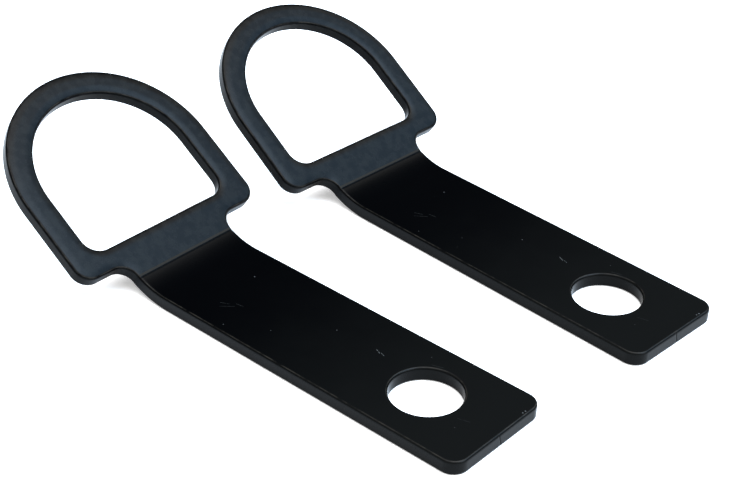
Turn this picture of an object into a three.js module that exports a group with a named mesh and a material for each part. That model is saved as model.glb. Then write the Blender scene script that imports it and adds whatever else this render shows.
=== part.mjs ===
// A pair of safety chain hook plates for a trailer hitch: flat bar with a bolt hole at one end,
// one bend, and a wider head with a D-shaped opening for the chain's hook.
// Millimetres, +Z up. Both straps lie on z = 0, and the origin is the middle of the pair's
// footprint. +X points from the heads to the square ends, and +Y from the front hook to the rear.

import * as THREE from 'three';
import { mergeVertices } from 'three/addons/utils/BufferGeometryUtils.js';

const { degToRad, clamp } = THREE.MathUtils;

// ---------- driving dimensions ----------

const plateThickness = 6;
const edgeChamfer = 0.6;         // on both faces, round the outline and both openings

const strapWidth = 50.8;         // two-inch flat bar
const strapCornerRadius = 6.5;
const strapFlatLength = 148.5;   // from the square end to the start of the bend

const boltHoleDiameter = 28;     // clears a one-inch ball shank
const boltHoleSetback = 34.3;    // from the square end to the hole's middle

const bendAngle = 33;            // degrees that the head turns up from the strap
const bendInnerRadius = 20;      // on the upper face

const headWidth = 94;
const shoulderSetback = 7.4;     // along the plate, from the end of the bend to the shoulder
const shoulderRootRadius = 7;    // inside corner between strap and shoulder
const shoulderTipRadius = 7.3;
const shoulderBarWidth = 9.1;    // from the shoulder to the eye's straight side

const eyeArmWidth = 11;          // all round the eye's sides and round end
const eyeStraightLength = 28.5;  // from the eye's straight side to its round end's centre
const eyeCornerRadius = 7.5;

const rearHeadAlong = 11.85;     // how far the rear head lies behind the front one, along +X
const headGap = 13.9;            // clear space between the two heads
const rearHookTurn = -3.4;       // degrees about +Z

const coating = { color: 0x17181a, roughness: 0.5, metalness: 0.1 };

// ---------- smoothness ----------

const arcStep = degToRad(6);     // largest turn per side on an outline's arc
const bendStrips = 8;            // flat strips that make up the bend
const samePoint = 1e-3;          // points closer than this are one point

// ---------- lengths that follow from them ----------

const bendTurn = degToRad(bendAngle);
const bendMiddleRadius = bendInnerRadius + plateThickness / 2;
const bendLength = bendMiddleRadius * bendTurn;   // measured half way through the plate
const bendEnd = strapFlatLength + bendLength;
const shoulder = bendEnd + shoulderSetback;
const eyeStart = shoulder + shoulderBarWidth;
const eyeWidth = headWidth - 2 * eyeArmWidth;
const arcCentre = eyeStart + eyeStraightLength;   // of the head's tip and of the eye's round end

// The shoulder's two fillets share its reach, so neither takes as much as half of it.
const shoulderReach = (headWidth - strapWidth) / 2;
const longestFillet = 0.49 * shoulderReach;
const rootRadius = Math.min(shoulderRootRadius, longestFillet);
const tipRadius = Math.min(shoulderTipRadius, longestFillet);

// ---------- outlines of the flat blank: u from the square end to the head, v across ----------

const quarterTurn = Math.PI / 2;
const halfTurn = Math.PI;

function arcPoints(u, v, radius, fromAngle, toAngle) {
  const steps = Math.ceil(Math.abs(toAngle - fromAngle) / arcStep - 1e-9);
  return Array.from({ length: steps + 1 }, (_, i) => {
    const angle = fromAngle + ((toAngle - fromAngle) * i) / steps;
    return new THREE.Vector2(u + radius * Math.cos(angle), v + radius * Math.sin(angle));
  });
}

// Completes an anticlockwise outline from its +v half, whose first point lies on v = 0.
function mirrored(half) {
  const otherHalf = half.slice(1).map((point) => new THREE.Vector2(point.x, -point.y));
  return [...half, ...otherHalf.reverse()];
}

function plateOutline() {
  const strapEdge = strapWidth / 2;
  const headEdge = headWidth / 2;
  const endCentre = [strapCornerRadius, strapEdge - strapCornerRadius];
  return mirrored([
    ...arcPoints(arcCentre, 0, headEdge, 0, quarterTurn),
    ...arcPoints(shoulder + tipRadius, headEdge - tipRadius, tipRadius, quarterTurn, halfTurn),
    ...arcPoints(shoulder - rootRadius, strapEdge + rootRadius, rootRadius, 0, -quarterTurn),
    ...arcPoints(...endCentre, strapCornerRadius, quarterTurn, halfTurn),
  ]);
}

function eyeOutline() {
  const side = eyeWidth / 2;
  const cornerCentre = [eyeStart + eyeCornerRadius, side - eyeCornerRadius];
  return mirrored([
    ...arcPoints(arcCentre, 0, side, 0, quarterTurn),
    ...arcPoints(...cornerCentre, eyeCornerRadius, quarterTurn, halfTurn),
  ]);
}

function boltHoleOutline() {
  return arcPoints(boltHoleSetback, 0, boltHoleDiameter / 2, 0, 2 * halfTurn).slice(1);
}

// ---------- one plate ----------

// The flat plate as it is cut from the bar, with its underside on height 0.
function flatBlank() {
  const shape = new THREE.Shape(plateOutline());
  shape.holes.push(new THREE.Path(boltHoleOutline()), new THREE.Path(eyeOutline()));
  const geometry = new THREE.ExtrudeGeometry(shape, {
    depth: plateThickness - 2 * edgeChamfer,
    bevelThickness: edgeChamfer,
    bevelSize: edgeChamfer,
    bevelOffset: -edgeChamfer,
    bevelSegments: 1,
  });
  return geometry.translate(0, 0, edgeChamfer);
}

// The part of a convex polygon on one side of a cut across the blank: side 1 is beyond the cut,
// and side -1 before it.
function clipped(polygon, cut, side) {
  return polygon.flatMap((point, i) => {
    const next = polygon[(i + 1) % polygon.length];
    const here = side * (point.x - cut);
    const there = side * (next.x - cut);
    const kept = here >= 0 ? [point] : [];
    const crossing = here * there < 0 ? [point.clone().lerp(next, here / (here - there))] : [];
    return [...kept, ...crossing];
  });
}

// Where a point (u, v, height) of the blank goes as the plate is bent. The strap stays, the bend
// turns about its axis, and the head goes on along the bend's last direction.
function bentPoint(point) {
  const turn = clamp((point.x - strapFlatLength) / bendMiddleRadius, 0, bendTurn);
  const pastBend = Math.max(point.x - bendEnd, 0);
  const radius = bendInnerRadius + plateThickness - point.z;
  return new THREE.Vector3(
    Math.min(point.x, strapFlatLength) + radius * Math.sin(turn) + pastBend * Math.cos(turn),
    point.y,
    plateThickness + bendInnerRadius - radius * Math.cos(turn) + pastBend * Math.sin(turn),
  );
}

// The blank's triangles are parted along the edges of the bend's strips, so that they can follow
// the bend, and their corners are then moved.
function hookPlate() {
  const cuts = Array.from(
    { length: bendStrips + 1 },
    (_, i) => strapFlatLength + (bendLength * i) / bendStrips,
  );
  const blankPoints = flatBlank().getAttribute('position');
  const skin = [];
  for (let i = 0; i < blankPoints.count; i += 3) {
    let polygons = [
      [i, i + 1, i + 2].map((k) => new THREE.Vector3().fromBufferAttribute(blankPoints, k)),
    ];
    for (const cut of cuts) {
      polygons = polygons
        .flatMap((polygon) => [clipped(polygon, cut, -1), clipped(polygon, cut, 1)])
        .filter((polygon) => polygon.length > 2);
    }
    for (const [first, ...others] of polygons) {
      for (let k = 1; k < others.length; k += 1) {
        skin.push(...[first, others[k - 1], others[k]].map(bentPoint));
      }
    }
  }
  const geometry = mergeVertices(new THREE.BufferGeometry().setFromPoints(skin), samePoint);
  geometry.computeVertexNormals();
  return geometry;
}

// ---------- the pair ----------

// A plate's own x points to its head, so half a turn points its square end along +X. The plate
// is placed by the middle of its head.
function hookMesh(name, geometry, headPlace, turn) {
  const material = new THREE.MeshStandardMaterial({ ...coating, flatShading: true });
  const mesh = new THREE.Mesh(geometry, material);
  mesh.name = name;
  mesh.rotation.z = halfTurn + turn;
  const head = bentPoint(new THREE.Vector3(arcCentre, 0, plateThickness / 2)).setZ(0);
  mesh.position.copy(headPlace).sub(head.applyEuler(mesh.rotation));
  return mesh;
}

const plate = hookPlate();
const frontHead = new THREE.Vector3(0, 0, 0);
const rearHead = new THREE.Vector3(rearHeadAlong, headWidth + headGap, 0);
const pair = new THREE.Group();
pair.add(hookMesh('front_hook', plate, frontHead, 0));
pair.add(hookMesh('rear_hook', plate.clone(), rearHead, degToRad(rearHookTurn)));

const footprintMiddle = new THREE.Box3().setFromObject(pair, true).getCenter(new THREE.Vector3());
pair.position.set(-footprintMiddle.x, -footprintMiddle.y, 0);

export default pair;
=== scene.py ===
import math

import bmesh
import bpy
import numpy as np
from mathutils import Matrix, Vector


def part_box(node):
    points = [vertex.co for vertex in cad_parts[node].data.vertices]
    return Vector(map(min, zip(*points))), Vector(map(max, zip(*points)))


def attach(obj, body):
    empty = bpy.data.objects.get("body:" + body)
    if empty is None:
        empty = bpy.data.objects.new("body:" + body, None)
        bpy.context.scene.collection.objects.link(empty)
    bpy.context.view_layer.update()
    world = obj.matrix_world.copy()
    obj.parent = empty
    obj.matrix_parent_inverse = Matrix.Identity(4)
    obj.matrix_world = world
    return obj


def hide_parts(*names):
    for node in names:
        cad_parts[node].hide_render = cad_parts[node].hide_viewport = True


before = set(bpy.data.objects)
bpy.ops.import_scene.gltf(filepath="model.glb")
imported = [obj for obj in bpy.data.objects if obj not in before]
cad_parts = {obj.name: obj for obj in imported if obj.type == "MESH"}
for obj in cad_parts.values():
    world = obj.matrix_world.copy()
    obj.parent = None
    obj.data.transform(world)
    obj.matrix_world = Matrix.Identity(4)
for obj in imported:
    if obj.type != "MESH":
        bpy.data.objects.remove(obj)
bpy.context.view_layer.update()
mm = 0.001

viewPoint = {
    "azimuth": 40.16,  # degrees, round from the front towards the square ends
    "elevation": 32.47,
    "roll": 2.28,
    "target": (6.29 * mm, -4.13 * mm, 15 * mm),
    "distance": 657.4 * mm,
    "lens": 80.41,  # in millimetres, as is the sensor's width
    "sensor": 36,
    "nearest": 0.01,
}


# The camera stands at the target plus the distance along the direction that the two angles give.
def placeCamera(v):
    azimuth = math.radians(v["azimuth"])
    elevation = math.radians(v["elevation"])
    roll = math.radians(v["roll"])
    level = math.cos(elevation)
    back = Vector((math.sin(azimuth) * level, -math.cos(azimuth) * level, math.sin(elevation)))
    flatRight = Vector((math.cos(azimuth), math.sin(azimuth), 0))
    flatUp = back.cross(flatRight)
    right = flatRight * math.cos(roll) + flatUp * math.sin(roll)
    turn = Matrix((right, back.cross(right), back)).transposed().to_4x4()
    data = bpy.data.cameras.new("viewCamera")
    data.sensor_width = v["sensor"]
    data.lens = v["lens"]
    data.clip_start = v["nearest"]
    camera = bpy.data.objects.new("viewCamera", data)
    bpy.context.scene.collection.objects.link(camera)
    camera.matrix_world = Matrix.Translation(Vector(v["target"]) + back * v["distance"]) @ turn
    bpy.context.scene.camera = camera
    bpy.context.scene.view_settings.view_transform = "Standard"


placeCamera(viewPoint)
print("camera placed")


class Wire:
    # A socket that can stand in sums and products: each operator adds its Math node.
    def __init__(self, tree, socket=None):
        self.tree = tree
        self.socket = socket

    # Any node: its settings first, then the values or links of its sockets. A socket is given by
    # its number, or by its name among those that the settings leave in use.
    def node(self, kind, settings, inputs, output=0):
        made = self.tree.nodes.new(kind)
        for name, value in settings.items():
            setattr(made, name, value)
        inUse = {k.name: k for k in reversed(made.inputs) if k.enabled}
        for name, value in inputs.items():
            socket = made.inputs[name] if isinstance(name, int) else inUse[name]
            if isinstance(value, Wire):
                self.tree.links.new(value.socket, socket)
            else:
                socket.default_value = value
        named = [k for k in made.outputs if k.enabled and output in (k.name, 0)]
        return Wire(self.tree, named[0] if named else None)

    # A Math node that works on the values in their order.
    def math(self, operation, *values):
        sockets = dict(enumerate(values))
        return self.node("ShaderNodeMath", {"operation": operation}, sockets)

    def __add__(self, other):
        return self.math("ADD", self, other)

    def __radd__(self, other):
        return self.math("ADD", other, self)

    def __sub__(self, other):
        return self.math("SUBTRACT", self, other)

    def __rsub__(self, other):
        return self.math("SUBTRACT", other, self)

    def __mul__(self, other):
        return self.math("MULTIPLY", self, other)

    def __rmul__(self, other):
        return self.math("MULTIPLY", other, self)

    def __truediv__(self, other):
        return self.math("DIVIDE", self, other)

    def __abs__(self):
        return self.math("ABSOLUTE", self)

    def larger(self, other):
        return self.math("MAXIMUM", self, other)

    def smaller(self, other):
        return self.math("MINIMUM", self, other)

    # 0 below low, 1 above high, and an S-shaped ramp between them.
    def step(self, low, high):
        inputs = {"Value": self, "From Min": low, "From Max": high}
        return self.node("ShaderNodeMapRange", {"interpolation_type": "SMOOTHSTEP"}, inputs)

    # 1 where the value is within reach of the middle, 0 from soft beyond it.
    def band(self, middle, reach, soft):
        return 1 - abs(self - middle).step(reach, reach + soft)

    # The part of a direction that lies along an axis.
    def along(self, axis):
        settings = {"operation": "DOT_PRODUCT"}
        inputs = {0: self, 1: Vector(axis).normalized()}
        return self.node("ShaderNodeVectorMath", settings, inputs, "Value")


plateShape = {
    "thickness": 6 * mm,
    "edgeRadius": 1.0 * mm,
    "strapWidth": 50.8 * mm,
    "strapCorner": 6.5 * mm,
    "strapFlat": 148.5 * mm,
    "holeRadius": 14 * mm,
    "holeSetback": 34.3 * mm,
    "bendAngle": 33,
    "bendRadius": 20 * mm,  # on the upper face
    "creaseAngle": 9,  # the part of the bend that the press tool's edge makes at the head's end
    "creaseRadius": 4.4 * mm,  # half way through the plate
    "grooveDepth": 0.2 * mm,  # the press tool's fine line beside the crease, on the upper face
    "grooveWidth": 0.8 * mm,
    "rollDepth": 0.42 * mm,  # how far the head's upper face falls towards its edges
    "rollWidth": 4 * mm,
    "headWidth": 94 * mm,
    "shoulderSetback": 7.4 * mm,
    "rootRadius": 7 * mm,
    "tipRadius": 7.3 * mm,
    "barWidth": 9.1 * mm,
    "armWidth": 11 * mm,
    "eyeStraight": 28.5 * mm,
    "eyeCorner": 7.5 * mm,
    "holeZone": 26 * mm,  # from the hole's middle to the cross line where its ring of faces ends
    "startTop": 1.5 * mm,  # where the cutting beam's start line meets the end face's upper edge
    "startFoot": -0.2 * mm,  # and its lower edge
    "startWidth": 0.22 * mm,
    "startDepth": 0.14 * mm,
    "startReach": 1.5 * mm,  # how far into the metal the start line fades out
    "startZone": 2.4 * mm,  # fine faces on both sides of the end face's middle
    "arcStep": 2,  # degrees per face on every arc
    "straightStep": 2 * mm,  # between points on a straight side
    "endStep": 1 * mm,  # between points on the square end
    "startStep": 0.12 * mm,  # between points beside the start line
    "edgeFaces": 6,  # faces round each rounded edge
    "wallRows": 9,
    "holeRows": 12,  # from the bolt hole out to the end's outline
    "eyeRows": 18,  # from the eye out to the head's outline
    "strapColumns": 39,
    "straightRows": 30,  # along the flat strap
    "bendRows": 32,
    "creaseRows": 24,
    "bendLead": 1 * mm,  # the flat strap's rows end this far before the bend
    "creaseLead": 1 * mm,  # the crease's fine rows start this far before it
    "creaseGap": 0.2 * mm,  # from the bend's rows to them, and from the bend's end to the head's ring
    "narrow": 0.25 * mm,  # the row beside a rounded edge, which keeps the flat faces flat
    "narrowShare": 0.3,  # and the most of the way across that it takes
    "weld": 0.004 * mm,  # points closer than this are one point
    "frontTurn": 180,  # degrees about +Z, as a blank's head lies along +X
    "rearTurn": 180 - 3.4,
}
s = plateShape
bendTurn = math.radians(s["bendAngle"])
bendMiddle = s["bendRadius"] + s["thickness"] / 2
bendEnd = s["strapFlat"] + bendMiddle * bendTurn
shoulderAt = bendEnd + s["shoulderSetback"]
eyeAt = shoulderAt + s["barWidth"]
arcAt = eyeAt + s["eyeStraight"]
headHalf = s["headWidth"] / 2
strapHalf = s["strapWidth"] / 2
eyeHalf = headHalf - s["armWidth"]
holeLine = s["holeSetback"] + s["holeZone"]
headLine = bendEnd + s["creaseGap"]


# Points at a radius round a centre, and the direction out of the metal at each: away from the
# centre on an outer corner, and towards it on an inner one.
def arcRun(u, v, radius, start, stop, outer=1):
    count = max(2, round(abs(stop - start) / s["arcStep"]) + 1)
    angle = np.radians(np.linspace(start, stop, count))
    ray = np.stack([np.cos(angle), np.sin(angle)], 1)
    return np.array([u, v]) + radius * ray, outer * ray


# Points evenly between two ends, without the ends, and one direction for all of them.
def straightRun(a, b, normal, spacing=s["straightStep"]):
    a = np.array(a)
    b = np.array(b)
    count = max(1, round(float(np.linalg.norm(b - a)) / spacing))
    part = np.arange(1, count)[:, None] / count
    return a + (b - a) * part, np.tile(np.array(normal, float), (count - 1, 1))


# Runs put end to end: all their points, and all their directions.
def joined(*runs):
    points, normals = zip(*runs)
    return np.concatenate(points), np.concatenate(normals)


# A run turned over to the other side of the middle line, in reverse order, without as many of the
# run's last points as skip says.
def mirroredRun(run, skip=0):
    points, normals = run
    flip = np.array([1, -1])
    kept = slice(None, len(points) - skip)
    return (points[kept] * flip)[::-1], (normals[kept] * flip)[::-1]


# The head's outline from the bend round its tip and back to the bend.
def headRun():
    tipU = shoulderAt + s["tipRadius"]
    tipV = headHalf - s["tipRadius"]
    rootU = shoulderAt - s["rootRadius"]
    rootV = strapHalf + s["rootRadius"]
    half = joined(
        (np.array([[headLine, strapHalf]]), np.array([[0.0, 1.0]])),
        arcRun(rootU, rootV, s["rootRadius"], -90, 0, -1),
        straightRun((shoulderAt, rootV), (shoulderAt, tipV), (-1, 0)),
        arcRun(tipU, tipV, s["tipRadius"], 180, 90),
        straightRun((tipU, headHalf), (arcAt, headHalf), (0, 1)),
        arcRun(arcAt, 0, headHalf, 90, 0),
    )
    return joined(half, mirroredRun(half, 1))


# The square end's outline from one side's cross line round both corners to the other side's.
def endRun():
    corner = s["strapCorner"]
    half = joined(
        (np.array([[holeLine, strapHalf]]), np.array([[0.0, 1.0]])),
        straightRun((holeLine, strapHalf), (corner, strapHalf), (0, 1)),
        arcRun(corner, strapHalf - corner, corner, 90, 180),
        straightRun((0, strapHalf - corner), (0, s["startZone"]), (-1, 0), s["endStep"]),
        (np.array([[0.0, s["startZone"]]]), np.array([[-1.0, 0.0]])),
        straightRun((0, s["startZone"]), (0, 0), (-1, 0), s["startStep"]),
        (np.array([[0.0, 0.0]]), np.array([[-1.0, 0.0]])),
    )
    return joined(half, mirroredRun(half, 1))


# Rows across from one curve to another: a narrow row at each end, and even rows between them.
def ruled(first, last, rows):
    gap = np.linalg.norm(last - first, axis=1)
    near = np.minimum(s["narrow"] / gap, s["narrowShare"])
    part = np.linspace(0, 1, rows)[:, None] * (1 - 2 * near) + near
    part = np.vstack([np.zeros_like(near), part, np.ones_like(near)])
    return first + (last - first) * part[:, :, None]


# Where the rays from the arc's centre at the given points' directions meet the eye's outline, and
# the direction out of the metal there: the straight side, the corner arcs or the round end.
def eyeMeeting(points):
    ray = points - np.array([arcAt, 0])
    ray = ray / np.linalg.norm(ray, axis=1)[:, None]
    back = -ray[:, 0]
    side = np.abs(ray[:, 1])
    corner = s["eyeCorner"]
    centre = np.array([s["eyeStraight"] - corner, eyeHalf - corner])
    onStraight = s["eyeStraight"] / np.maximum(back, 1e-9)
    onSide = eyeHalf / np.maximum(side, 1e-9)
    toward = back * centre[0] + side * centre[1]
    inside = np.maximum(toward**2 - centre @ centre + corner**2, 0)
    onCorner = toward + np.sqrt(inside)
    straight = (back > 0) & (onStraight * side < centre[1])
    sides = (back > 0) & (onSide * back < centre[0])
    reach = np.where(straight, onStraight, np.where(sides, onSide, onCorner))
    reach = np.where(back <= 0, eyeHalf, reach)
    met = np.array([arcAt, 0]) + ray * reach[:, None]
    turned = np.sign(ray[:, 1])
    away = np.stack([-(reach * back - centre[0]), (reach * side - centre[1]) * turned], 1) / corner
    out = np.where(straight[:, None], np.array([-1.0, 0.0]), away)
    out = np.where(sides[:, None], np.stack([0 * turned, turned], 1), out)
    out = np.where((back <= 0)[:, None], ray, out)
    return met, -out


# The bend's path half way through the plate: a wide arc, then the crease's tight one, which ends
# where the plain bend would. The wide arc's radius makes up the rise that the crease leaves.
creaseTurn = math.radians(s["creaseAngle"])
wideTurn = bendTurn - creaseTurn
endX = s["strapFlat"] + bendMiddle * math.sin(bendTurn)
endRise = bendMiddle * (1 - math.cos(bendTurn))
creaseRise = s["creaseRadius"] * (math.cos(wideTurn) - math.cos(bendTurn))
creaseRun = s["creaseRadius"] * (math.sin(bendTurn) - math.sin(wideTurn))
wideRadius = (endRise - creaseRise) / (1 - math.cos(wideTurn))
wideStart = endX - creaseRun - wideRadius * math.sin(wideTurn)
creaseAt = bendEnd - s["creaseRadius"] * creaseTurn


# How far the head's upper face falls at a place on the blank: the depth times the square of the
# share of the roll's width left at the distance from the nearest edge. A rounded corner's distance
# is its radius less the way from its centre, and the fall fades out from the shoulder to the bend.
def edgeRoll(u, v):
    side = np.abs(v)
    past = u - arcAt
    fromCentre = np.hypot(past, v)
    besideU = -past - (s["eyeStraight"] - s["eyeCorner"])
    besideV = side - (eyeHalf - s["eyeCorner"])
    outward = np.hypot(np.maximum(besideU, 0), np.maximum(besideV, 0))
    inward = np.minimum(np.maximum(besideU, besideV), 0)
    fromEye = np.where(past > 0, fromCentre - eyeHalf, outward + inward - s["eyeCorner"])

    tipU = shoulderAt + s["tipRadius"] - u
    tipV = side - (headHalf - s["tipRadius"])
    rootU = u - (shoulderAt - s["rootRadius"])
    rootV = strapHalf + s["rootRadius"] - side
    fromSide = np.where(past > 0, headHalf - fromCentre, headHalf - side)
    fromRoot = np.hypot(np.maximum(rootU, 0), np.maximum(rootV, 0)) - s["rootRadius"]
    fromTip = s["tipRadius"] - np.hypot(tipU, tipV)
    onTip = (tipU > 0) & (tipV > 0)
    fromOutline = np.where(onTip, fromTip, np.minimum(fromSide, fromRoot))

    nearest = np.minimum(fromEye, fromOutline)
    left = np.clip(1 - nearest / s["rollWidth"], 0, 1)
    fade = np.clip((u - bendEnd) / (shoulderAt - bendEnd), 0, 1)
    return s["rollDepth"] * left**2 * fade**2 * (3 - 2 * fade)


# A blank's points, moved as the plate is bent: the strap stays, the path turns through its two
# arcs, the head goes on straight, and a point keeps its height along the path's upward direction.
def bent(points):
    u, v, height = points.T
    wide = np.clip((u - wideStart) / (creaseAt - wideStart), 0, 1) * wideTurn
    tight = np.clip((u - creaseAt) / (bendEnd - creaseAt), 0, 1) * creaseTurn
    turn = wide + tight
    past = np.maximum(u - bendEnd, 0)
    beside = np.clip((creaseAt - u) / s["grooveWidth"], 0, 1)
    dip = s["grooveDepth"] * np.sin(np.pi * beside) ** 2 + edgeRoll(u, v)
    fromMiddle = height - dip * height / s["thickness"] - s["thickness"] / 2
    pathX = np.minimum(u, wideStart) + wideRadius * np.sin(wide)
    pathX = pathX + s["creaseRadius"] * (np.sin(turn) - np.sin(wide)) + past * np.cos(turn)
    pathZ = wideRadius * (1 - np.cos(wide)) + past * np.sin(turn)
    pathZ = pathZ + s["creaseRadius"] * (np.cos(wide) - np.cos(turn)) + s["thickness"] / 2
    x = pathX - fromMiddle * np.sin(turn)
    z = pathZ + fromMiddle * np.cos(turn)
    return np.stack([x, v, z], 1)


# Faces between neighbouring rows and columns of a grid of point numbers.
def gridFaces(rows, columns, start, closed=False):
    number = start + np.arange(rows * columns).reshape(rows, columns)
    if closed:
        number = np.hstack([number, number[:, :1]])
    corners = (number[:-1, :-1], number[1:, :-1], number[1:, 1:], number[:-1, 1:])
    return np.stack(corners, -1).reshape(-1, 4)


# The plate as grids on its flat blank: on each face a ring round the bolt hole, the strap, and a
# ring round the eye; and along each outline a rounded edge, the wall and a rounded edge.
def plateBlank():
    radius = s["edgeRadius"]
    head = headRun()
    end = endRun()
    innerHalf = strapHalf - radius
    across = np.concatenate([
        [-innerHalf],
        np.linspace(-innerHalf + s["narrow"], innerHalf - s["narrow"], s["strapColumns"]),
        [innerHalf],
    ])
    fineStart = creaseAt - s["creaseLead"]
    lengthwise = np.concatenate([
        np.linspace(holeLine, wideStart - s["bendLead"], s["straightRows"]),
        np.linspace(wideStart, fineStart - s["creaseGap"], s["bendRows"]),
        np.linspace(fineStart, headLine - s["creaseGap"] / 2, s["creaseRows"]),
        [headLine],
    ])

    # The strap's inner points on one cross line.
    def crossLine(at):
        return np.stack([np.full(len(across) - 2, at), across[1:-1]], 1)

    # A run's points moved into the metal by the edge radius.
    def inset(run):
        return run[0] - run[1] * radius

    holeCentre = np.array([s["holeSetback"], 0])
    endRim = np.concatenate([inset(end), crossLine(holeLine)])
    holeRay = endRim - holeCentre
    holeRay = holeRay / np.linalg.norm(holeRay, axis=1)[:, None]
    hole = (holeCentre + s["holeRadius"] * holeRay, -holeRay)
    headRim = np.concatenate([inset(head), crossLine(headLine)])
    eye = eyeMeeting(headRim)

    side = np.stack([lengthwise[1:-1], np.full(len(lengthwise) - 2, strapHalf)], 1)
    sideOut = np.tile([0.0, 1.0], (len(side), 1))
    flip = np.array([1, -1])
    outline = joined(
        head,
        (side[::-1] * flip, sideOut * flip),
        (end[0] * flip, end[1] * flip),
        (side, sideOut),
    )

    quarter = np.radians(np.linspace(0, 90, s["edgeFaces"] + 1))
    roundInset = radius * (1 - np.sin(quarter))
    roundRise = radius * (1 - np.cos(quarter))
    wall = np.linspace(s["thickness"] - radius, radius, s["wallRows"] + 2)[1:-1]
    insets = np.concatenate([roundInset, 0 * wall, roundInset[::-1]])
    heights = np.concatenate([s["thickness"] - roundRise, wall, roundRise[::-1]])

    points = []
    faces = []
    count = 0

    # A grid's points at their heights, and its faces after those that are there already.
    def addGrid(flat, height, closed):
        nonlocal count
        rows, columns = flat.shape[:2]
        level = np.broadcast_to(height, (rows, columns))
        points.append(np.concatenate([flat, level[:, :, None]], 2).reshape(-1, 3))
        faces.append(gridFaces(rows, columns, count, closed))
        count += rows * columns

    strapU, strapV = np.meshgrid(lengthwise, across, indexing="ij")
    strapGrid = np.stack([strapU, strapV], 2)
    for height in (s["thickness"], 0.0):
        addGrid(ruled(inset(hole), endRim, s["holeRows"]), height, True)
        addGrid(strapGrid, height, False)
        addGrid(ruled(inset(eye), headRim, s["eyeRows"]), height, True)
    for run in (outline, hole, eye):
        wallGrid = run[0][None] - run[1][None] * insets[:, None, None]
        addGrid(wallGrid, heights[:, None], True)
    return startLine(np.concatenate(points)), np.concatenate(faces)


# The cutting beam's start line: a bell-shaped dip in the end face, leaning along its height.
def startLine(points):
    u, v, height = points.T
    middle = s["startFoot"] + (s["startTop"] - s["startFoot"]) * height / s["thickness"]
    bell = np.exp(-(((v - middle) / s["startWidth"]) ** 2))
    dip = s["startDepth"] * bell * np.clip(1 - u / s["startReach"], 0, 1)
    return np.stack([u + dip, v, height], 1)


# A finished plate: the bent blank turned about +Z and put where its CAD node's box says. Each
# point keeps its place on the blank, for marks that follow the metal.
def hookPlate(name, node, body, turnDegrees, material):
    blank, faces = plateBlank()
    turn = math.radians(turnDegrees)
    spin = np.array([
        [math.cos(turn), -math.sin(turn), 0],
        [math.sin(turn), math.cos(turn), 0],
        [0, 0, 1],
    ])
    placed = bent(blank) @ spin.T
    low, high = (np.array(corner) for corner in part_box(node))
    middle = (placed.min(0) + placed.max(0)) / 2
    placed += np.array([*((low + high) / 2 - middle)[:2], 0])
    mesh = bpy.data.meshes.new(name)
    mesh.from_pydata(placed.tolist(), [], faces.tolist())
    place = mesh.attributes.new("blankPlace", "FLOAT_VECTOR", "POINT")
    place.data.foreach_set("vector", blank.ravel())
    shell = bmesh.new()
    shell.from_mesh(mesh)
    bmesh.ops.remove_doubles(shell, verts=shell.verts, dist=s["weld"])
    bmesh.ops.dissolve_degenerate(shell, dist=s["weld"], edges=shell.edges)
    bmesh.ops.recalc_face_normals(shell, faces=shell.faces)
    openEdges = sum(1 for edge in shell.edges if len(edge.link_faces) != 2)
    volume = shell.calc_volume(signed=True)
    shell.to_mesh(mesh)
    shell.free()
    mesh.shade_smooth()
    mesh.materials.append(material)
    piece = bpy.data.objects.new(name, mesh)
    bpy.context.scene.collection.objects.link(piece)
    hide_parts(node)
    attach(piece, body)
    cubicCentimetres = round(volume * 1e6, 2)
    print(name, len(mesh.polygons), "faces, open edges", openEdges, "volume", cubicCentimetres)


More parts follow.
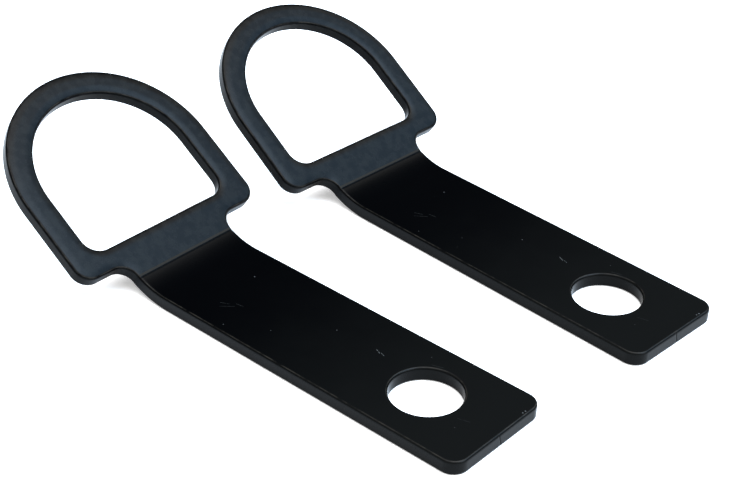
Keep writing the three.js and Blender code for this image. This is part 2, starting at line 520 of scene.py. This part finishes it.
coat = {
    "colour": (0.0003, 0.0004, 0.0006, 1),
    "specular": 0.05,
    "roughness": 0.22,
    "sheenAndMottleColour": (0.003, 0.0032, 0.0031, 1),  # painted sheen towards the square end, in place of reflected light; also the lighter tone of the head's random patches
    "sheenFrom": 135 * mm,  # along the plate, from the square end
    "sheenTo": 5 * mm,
    "sheenDrift": 30 * mm,  # how far the cloud moves the painted sheen's border
    "mottle": 0.9,  # how much of the lighter tone the head's random patches have
    "mottleSize": 3.5 * mm,
    "mottleLow": 0.35,  # a patch starts from this noise
    "mottleHigh": 0.65,
    "mottleFade": 1 * mm,  # past the bend's end
    "creaseHighlight": (0.008, 0.0066, 0.0045, 1),  # painted highlight: a thin warm line along the crease, in place of the light that it catches
    "creaseHighlightPast": 0.3 * mm,  # the line's middle, past the bend's end
    "creaseHighlightReach": 0.36 * mm,
    "creaseHighlightSoft": 0.22 * mm,
    "creaseHighlightRoughness": 0.25,
    "flatFrom": 0.25 * mm,  # below the upper face, where the painted crease highlight begins to show
    "flatTo": 0.08 * mm,  # and where it shows fully
    "wornEdgeSheen": (0.016, 0.0142, 0.0118, 1),  # a painted highlight along the upper edges, broken into patches like thin worn paint
    "edgeLineBelow": 0.12 * mm,  # middle of the edge line, below the upper face
    "edgeLineReach": 0.06 * mm,
    "edgeLineSoft": 0.05 * mm,
    "edgeLineSize": 4 * mm,  # size of the edge line's patches, like worn paint
    "edgeLineLow": 0.3,
    "edgeLineHigh": 0.7,
    "edgeLineStrength": 0.9,
    "edgeLineRoughness": 0.12,
    "pale": (0.05, 0.052, 0.052, 1),  # dust, scratches and chips
    "paleRoughness": 0.3,
    "markFrom": 0.9 * mm,  # below the upper face, where the marks begin to show
    "markTo": 0.5 * mm,
    "gapSize": 0.6 * mm,  # of the gaps in the marks
    "gapLow": 0.3,
    "gapHigh": 0.55,
    "strokeCore": 0.2,  # share of a stroke's width where it is full
    "strokeRim": 0.6,  # and where it ends
    "speckCore": 0.5,  # share of a speck's radius where it is full
    "dustSpacing": 9 * mm,
    "dustRadius": 0.14 * mm,
    "dustCore": 0.4,
    "dustStrength": 0.5,
    "startFrom": 0.15 * mm,  # the start line's rough stripe is full to here from its middle
    "startTo": 0.35 * mm,
    "startDeep": 0.6 * mm,  # and into the metal, from the end face
    "startDeepest": 0.9 * mm,
    "startRoughness": 0.4,
    "cloudSize": 18 * mm,
    "cloudRoughness": 0.06,
    "speckleSize": 0.45 * mm,
    "speckleRoughness": 0.05,
    "peelSize": 1.3 * mm,
    "peelDepth": 0.0022 * mm,
    "grainSize": 0.2 * mm,
    "grainDepth": 0.0007 * mm,
}

# Marks on the upper face, as places on the blank in millimetres: strokes from one point to another
# with their width and strength, and round specks with their radius and strength.
marks = {
    "strokes": [
        ((64.0, -6.7), (61.5, -5.7), 0.34, 0.9),
        ((61.3, -6.2), (59.4, -5.6), 0.3, 0.7),
        ((127.6, 12.2), (124.4, 10.6), 0.2, 0.25),
        ((126.0, 14.2), (121.8, 10.4), 0.2, 0.22),
        ((122.6, 8.6), (119.2, 8.0), 0.2, 0.25),
        ((43.0, -13.6), (38.5, -15.2), 0.2, 0.2),
        ((12.0, 3.0), (16.5, 4.4), 0.2, 0.15),
    ],
    "specks": [
        (130.7, -9.7, 0.32, 1.0),
        (116.4, 21.6, 0.26, 0.8),
        (100.7, 12.0, 0.24, 0.7),
        (82.9, -5.5, 0.3, 0.8),
        (1.5, -15.6, 0.4, 1.6),
        (1.6, -14.2, 0.34, 1.2),
        (46.0, -17.2, 0.22, 0.5),
        (14.0, 9.0, 0.24, 0.4),
    ],
}


# The coat's colour goes from a painted sheen near the square end to black along the plate, with the
# head's random patches of the same lighter tone, then to the edge line (a painted highlight in
# patches like wear), the crease's painted highlight and the pale marks by their masks. Its roughness
# is the coat's own, plus the cloud's and the speckle's share round their means, plus each mask's
# share. Its bump is orange peel and grain.
def powderCoat(c, placedMarks):
    material = bpy.data.materials.new("powderCoat")
    material.use_nodes = True
    tree = material.node_tree
    tree.nodes.clear()
    start = Wire(tree)
    here = start.node("ShaderNodeTexCoord", {}, {}, "Object")
    blank = start.node("ShaderNodeAttribute", {"attribute_name": "blankPlace"}, {}, "Vector")
    u = start.node("ShaderNodeSeparateXYZ", {}, {0: blank}, "X")
    v = start.node("ShaderNodeSeparateXYZ", {}, {0: blank}, "Y")
    level = start.node("ShaderNodeSeparateXYZ", {}, {0: blank}, "Z")
    top = s["thickness"]
    upper = level.step(top - c["markFrom"], top - c["markTo"])
    flat = level.step(top - c["flatFrom"], top - c["flatTo"])

    # Noise between 0 and 1, with patches of about the size.
    def noise(size, detail=2.0):
        inputs = {"Vector": here, "Scale": 1 / size, "Detail": detail}
        return start.node("ShaderNodeTexNoise", {}, inputs, "Fac")

    # The first colour at factor 0, and the second at 1.
    def mixed(factor, a, b):
        inputs = {"Factor": factor, "A": a, "B": b}
        return start.node("ShaderNodeMix", {"data_type": "RGBA"}, inputs, "Result")

    # The square root of the sum of both squares.
    def length(a, b):
        return a.math("SQRT", a * a + b * b)

    # By the distance to the nearest point of a stroke: full in its core, and nothing past its rim.
    # That point's share of the way along is kept between 0 and 1.
    def stroke(a, b, width, strength):
        runU = (b[0] - a[0]) * mm
        runV = (b[1] - a[1]) * mm
        fromU = u - a[0] * mm
        fromV = v - a[1] * mm
        share = (fromU * runU + fromV * runV) / (runU**2 + runV**2)
        share = share.larger(0.0).smaller(1.0)
        away = length(fromU - share * runU, fromV - share * runV)
        core = c["strokeCore"] * width * mm
        rim = c["strokeRim"] * width * mm
        return (1 - away.step(core, rim)) * strength

    # Full in the core round the middle, and nothing past the radius.
    def speck(atU, atV, radius, strength):
        away = length(u - atU * mm, v - atV * mm)
        return (1 - away.step(c["speckCore"] * radius * mm, radius * mm)) * strength

    cloud = noise(c["cloudSize"], detail=3.0)
    speckle = noise(c["speckleSize"])
    broken = noise(c["gapSize"]).step(c["gapLow"], c["gapHigh"])
    made = [stroke(*one) for one in placedMarks["strokes"]]
    made += [speck(*one) for one in placedMarks["specks"]]
    pale = made[0]
    for one in made[1:]:
        pale = pale.larger(one)
    cell = {"Vector": here, "Scale": 1 / c["dustSpacing"]}
    nearest = start.node("ShaderNodeTexVoronoi", {}, cell, "Distance")
    reach = c["dustRadius"] / c["dustSpacing"]
    dust = (1 - nearest.step(c["dustCore"] * reach, reach)) * c["dustStrength"]
    pale = (pale * upper * broken).larger(dust)

    # A painted highlight: a thin warm line along the crease, in place of the light that the crease
    # catches.
    paintedCrease = u.band(bendEnd + c["creaseHighlightPast"], c["creaseHighlightReach"], c["creaseHighlightSoft"]) * flat
    # The upper edges' warm line: a painted highlight, broken into patches like worn paint.
    patches = noise(c["edgeLineSize"], detail=4.0).step(c["edgeLineLow"], c["edgeLineHigh"])
    edge = level.band(top - c["edgeLineBelow"], c["edgeLineReach"], c["edgeLineSoft"])
    edge = edge * patches * c["edgeLineStrength"]
    startMiddle = s["startFoot"] + (s["startTop"] - s["startFoot"]) * level / top
    cut = 1 - abs(v - startMiddle).step(c["startFrom"], c["startTo"])
    cut = cut * (1 - u.step(c["startDeep"], c["startDeepest"]))
    # Painted sheen: the strap's colour lightens towards the square end in place of reflected light.
    # The head's patches of the same tone are random.
    sheenAndMottle = 1 - (u + (cloud - 0.5) * c["sheenDrift"]).step(c["sheenTo"], c["sheenFrom"])
    mottle = noise(c["mottleSize"], detail=5.0).step(c["mottleLow"], c["mottleHigh"])
    mottle = mottle * u.step(bendEnd, bendEnd + c["mottleFade"])
    sheenAndMottle = sheenAndMottle + mottle * c["mottle"]
    colour = mixed(sheenAndMottle, c["colour"], c["sheenAndMottleColour"])
    colour = mixed(edge, colour, c["wornEdgeSheen"])
    colour = mixed(paintedCrease, colour, c["creaseHighlight"])
    colour = mixed(pale, colour, c["pale"])
    roughness = c["roughness"] + (cloud - 0.5) * c["cloudRoughness"]
    roughness = roughness + (speckle - 0.5) * c["speckleRoughness"]
    roughness = roughness + paintedCrease * c["creaseHighlightRoughness"] + pale * c["paleRoughness"]
    roughness = roughness + edge * c["edgeLineRoughness"] + cut * c["startRoughness"]
    height = noise(c["peelSize"]) * c["peelDepth"] + noise(c["grainSize"]) * c["grainDepth"]
    bump = {"Height": height, "Distance": 1.0, "Strength": 1.0}
    normal = start.node("ShaderNodeBump", {}, bump)
    finish = {
        "Base Color": colour,
        "Roughness": roughness,
        "Specular IOR Level": c["specular"],
        "Normal": normal,
    }
    surface = start.node("ShaderNodeBsdfPrincipled", {}, finish)
    start.node("ShaderNodeOutputMaterial", {}, {"Surface": surface})
    return material


coatMaterial = powderCoat(coat, marks)
hookPlate("front_hook_plate", "front_hook", "front", s["frontTurn"], coatMaterial)
hookPlate("rear_hook_plate", "rear_hook", "rear", s["rearTurn"], coatMaterial)
print("plates made")


studio = {
    "backdrop": (1.0, 1.0, 1.0, 1),
    "coolColour": (0.6, 0.96, 1.36, 1),
    "coolPower": 5.3,
    "coolRise": 1.0,  # how much stronger the cool light is high up
    "riseFrom": 0.76,  # as the upward part of a direction
    "riseTo": 0.86,
    "coolFrom": 0.08,  # left edge of the cool light, as the part along +X
    "coolTo": 0.22,
    "warmColour": (1.0, 0.97, 0.9, 1),
    "warmPower": 3.0,
    "warmFrom": -0.12,  # left edge of the warm strip, as the part along +X
    "warmTo": 0.0,
    "rearFrom": -0.1,  # front edge of both rear lights, as the part along +Y
    "rearTo": 0.15,
    "lowest": 26,  # degrees above the floor where the rear lights start
    "full": 40,
    "topColour": (0.99, 1.0, 1.02, 1),
    "topPower": 6.0,
    "topAxis": (0.1, 0, 1),
    "topInner": 20,
    "topOuter": 38,
    "sideColour": (1.0, 0.98, 0.94, 1),
    "sidePower": 4.0,
    "sideAxis": (0.9, 0.1, 0.6),
    "sideInner": 12,
    "sideOuter": 28,
    "fillColour": (1.0, 1.0, 1.0, 1),
    "fillPower": 0.05,
    "fillTo": 0.2,  # full from this upward part of a direction
    "frontColour": (1.0, 0.99, 0.97, 1),
    "frontPower": 0.7,
    "frontFrom": 0.1,  # rear edge of the front light, as the part along -Y
    "frontTo": 0.5,
    "frontLow": 0.1,  # and its lower edge
    "frontHigh": 0.3,
}


# The light is worked out from its direction alone: a cool wall of light behind on the right, a
# neutral strip at its left edge, darkness beyond that for the straps to reflect, a round light
# above, a small one on the right, and a weak light from the front. Seen directly, it is plain pale.
def lightStudio(v):
    world = bpy.data.worlds.new("studio")
    bpy.context.scene.world = world
    world.use_nodes = True
    tree = world.node_tree
    tree.nodes.clear()
    start = Wire(tree)
    direction = start.node("ShaderNodeTexCoord", {}, {}, "Generated")

    # The cosine and the sine of an angle in degrees.
    def cosine(degrees):
        return math.cos(math.radians(degrees))

    def sine(degrees):
        return math.sin(math.radians(degrees))

    # A round light: full within the inner angle from its axis, and nothing past the outer one.
    def spot(axis, inner, outer):
        return direction.along(axis).step(cosine(outer), cosine(inner))

    upward = direction.along((0, 0, 1))
    across = direction.along((1, 0, 0))
    high = upward.step(sine(v["lowest"]), sine(v["full"]))
    behind = direction.along((0, 1, 0)).step(v["rearFrom"], v["rearTo"]) * high
    right = across.step(v["coolFrom"], v["coolTo"])
    higher = 1 + v["coolRise"] * upward.step(v["riseFrom"], v["riseTo"])
    between = across.step(v["warmFrom"], v["warmTo"]) * (1 - right)
    top = spot(v["topAxis"], v["topInner"], v["topOuter"])
    side = spot(v["sideAxis"], v["sideInner"], v["sideOuter"])
    forward = direction.along((0, -1, 0)).step(v["frontFrom"], v["frontTo"])
    front = forward * upward.step(v["frontLow"], v["frontHigh"])

    # A light of the named colour, at its power times the strength.
    def glow(name, strength):
        inputs = {"Color": v[name + "Colour"], "Strength": strength * v[name + "Power"]}
        return start.node("ShaderNodeBackground", {}, inputs)

    # Both lights together.
    def added(a, b):
        return start.node("ShaderNodeAddShader", {}, {0: a, 1: b})

    rear = added(glow("cool", behind * right * higher), glow("warm", behind * between))
    others = added(glow("top", top), glow("side", side))
    soft = added(glow("fill", upward.step(0, v["fillTo"])), glow("front", front))
    lights = added(added(rear, others), soft)
    seen = start.node("ShaderNodeLightPath", {}, {}, "Is Camera Ray")
    backdrop = start.node("ShaderNodeBackground", {}, {"Color": v["backdrop"], "Strength": 1.0})
    mixed = start.node("ShaderNodeMixShader", {}, {0: seen, 1: lights, 2: backdrop})
    start.node("ShaderNodeOutputWorld", {}, {"Surface": mixed})


paleFloor = {
    "reach": 3.0,  # from the middle to each side
    "level": -0.05 * mm,
    "colour": (0.86, 0.86, 0.86, 1),
    "glow": 0.4,  # keeps the contact shadows pale
    "reflected": (0.8, 0.8, 0.8, 1),
}


# A square floor just under the plates, pale to the camera and a little darker in reflections.
def layFloor(v):
    mesh = bpy.data.meshes.new("floor")
    reach = v["reach"]
    square = [(-1, -1), (1, -1), (1, 1), (-1, 1)]
    corners = [(x * reach, y * reach, v["level"]) for x, y in square]
    mesh.from_pydata(corners, [], [(0, 1, 2, 3)])
    material = bpy.data.materials.new("paleFloor")
    material.use_nodes = True
    tree = material.node_tree
    tree.nodes.clear()
    start = Wire(tree)
    pale = start.node("ShaderNodeBsdfDiffuse", {}, {"Color": v["colour"]})
    shine = start.node("ShaderNodeEmission", {}, {"Strength": v["glow"]})
    lit = start.node("ShaderNodeAddShader", {}, {0: pale, 1: shine})
    dim = start.node("ShaderNodeBsdfDiffuse", {}, {"Color": v["reflected"]})
    seen = start.node("ShaderNodeLightPath", {}, {}, "Is Camera Ray")
    surface = start.node("ShaderNodeMixShader", {}, {0: seen, 1: dim, 2: lit})
    start.node("ShaderNodeOutputMaterial", {}, {"Surface": surface})
    mesh.materials.append(material)
    floor = bpy.data.objects.new("floor", mesh)
    bpy.context.scene.collection.objects.link(floor)


lightStudio(studio)
layFloor(paleFloor)
print("studio lit")
